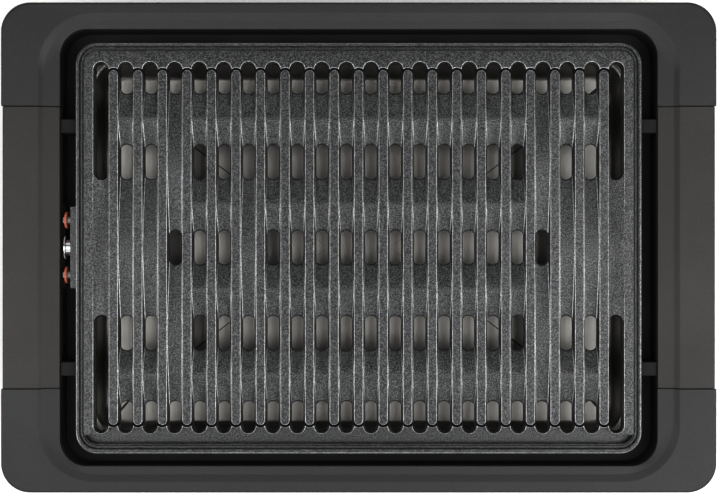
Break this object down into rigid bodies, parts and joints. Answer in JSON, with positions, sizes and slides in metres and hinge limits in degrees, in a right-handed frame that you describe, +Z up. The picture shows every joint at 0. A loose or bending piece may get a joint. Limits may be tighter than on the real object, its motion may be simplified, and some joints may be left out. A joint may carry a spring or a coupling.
{
  "type": "electric griddle",
  "caption": "Electric griddle: ribbed and slotted cast grill plate with its own heating element, over a metal drip tray, in a black moulded frame with two side handles and feet.",
  "frame": {"origin": "under the middle of the four feet, on the table surface", "axes": "+X to the right-hand handle, +Y to the rear, +Z up; the heat control plugs in from the left, -X"},
  "size_m": [0.49, 0.336, 0.09],
  "materials": {
    "frame_plastic": "fine moulded black, satin",
    "handle_plastic": "fine moulded warm black, satin",
    "nonstick_cast": "cast, speckled non-stick coat",
    "tray_metal": "brushed sheet",
    "shield_metal": "mill finish sheet",
    "sheath_steel": "drawn tube, satin",
    "bright_plate": "bright nickel plate",
    "seal_red": "orange-red silicone, matte",
    "port_resin": "heat resistant resin, matte",
    "pad_rubber": "soft rubber, matte",
    "screw_steel": "zinc plated"
  },
  "bodies": {
    "base": {"outer_frame": "frame_plastic", "left_handle": "handle_plastic", "right_handle": "handle_plastic", "handle_screws": "screw_steel", "base_tub": "frame_plastic", "frame_screws": "screw_steel", "heat_shield": "shield_metal", "shield_screws": "screw_steel", "control_port": "port_resin", "plate_rest_front_left": "frame_plastic", "plate_rest_front_right": "frame_plastic", "plate_rest_rear_left": "frame_plastic", "plate_rest_rear_right": "frame_plastic", "foot_front_left": "frame_plastic", "foot_front_right": "frame_plastic", "foot_rear_left": "frame_plastic", "foot_rear_right": "frame_plastic", "foot_pad_front_left": "pad_rubber", "foot_pad_front_right": "pad_rubber", "foot_pad_rear_left": "pad_rubber", "foot_pad_rear_right": "pad_rubber", "foot_screws": "screw_steel"},
    "drip_tray": {"drip_tray": "tray_metal"},
    "grill_plate": {"grill_plate": "nonstick_cast", "heating_element": "sheath_steel", "front_end_seal": "seal_red", "rear_end_seal": "seal_red", "front_terminal_pin": "bright_plate", "rear_terminal_pin": "bright_plate", "probe_guard_ring": "bright_plate", "probe_sleeve": "sheath_steel"}
  },
  "joints": [
    {"name": "tray_lift", "type": "slide", "parent": "base", "child": "drip_tray", "axis": [0, 0, 1], "range_m": [0, 0.07]},
    {"name": "plate_lift", "type": "slide", "parent": "drip_tray", "child": "grill_plate", "axis": [0, 0, 1], "range_m": [0, 0.06]}
  ]
}
